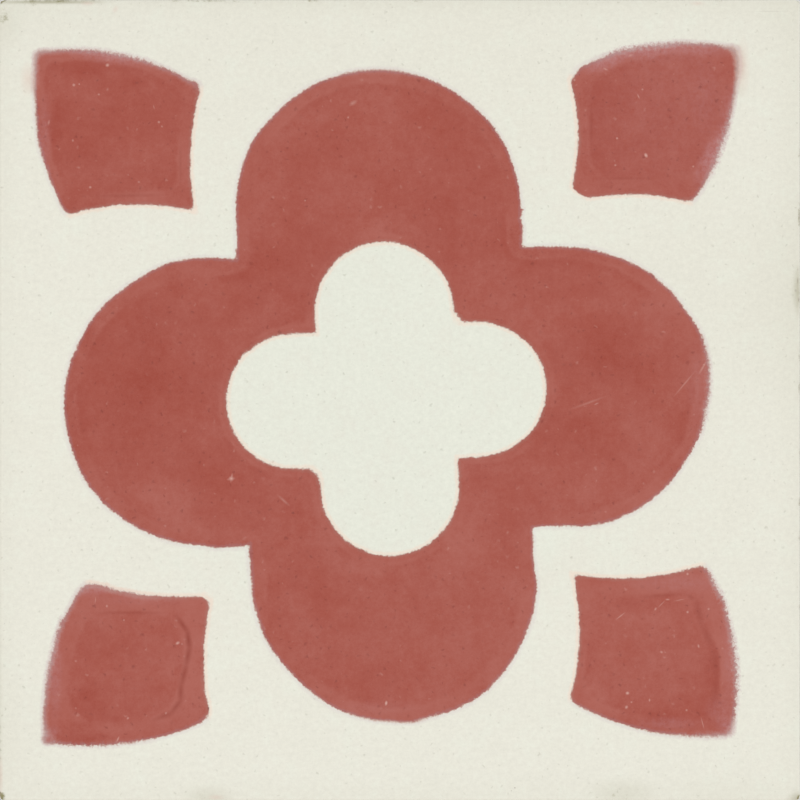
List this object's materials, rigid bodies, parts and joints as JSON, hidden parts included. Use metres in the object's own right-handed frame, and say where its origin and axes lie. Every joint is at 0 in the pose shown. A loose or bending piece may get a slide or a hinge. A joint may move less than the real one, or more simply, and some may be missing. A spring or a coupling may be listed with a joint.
{
  "type": "octagon insert tile",
  "caption": "Small square pressed cement tile, off-white with a red four-lobed flower ring and curved corner patches, and a grooved underside, for the gap between octagon tiles.",
  "frame": {"origin": "middle of the underside, on the level surface that the tile lies on", "axes": "+Z out of the patterned face, which lies up; +Y towards the edge that is at the top of the picture and +X towards the one at its right, both square to the flanks"},
  "size_m": [0.082, 0.082, 0.016],
  "materials": {
    "cement": "pressed pigmented cement, matt to eggshell; red inlaid fields over a grey mortar backing"
  },
  "bodies": {
    "root": {"tile": "cement"}
  },
  "joints": []
}
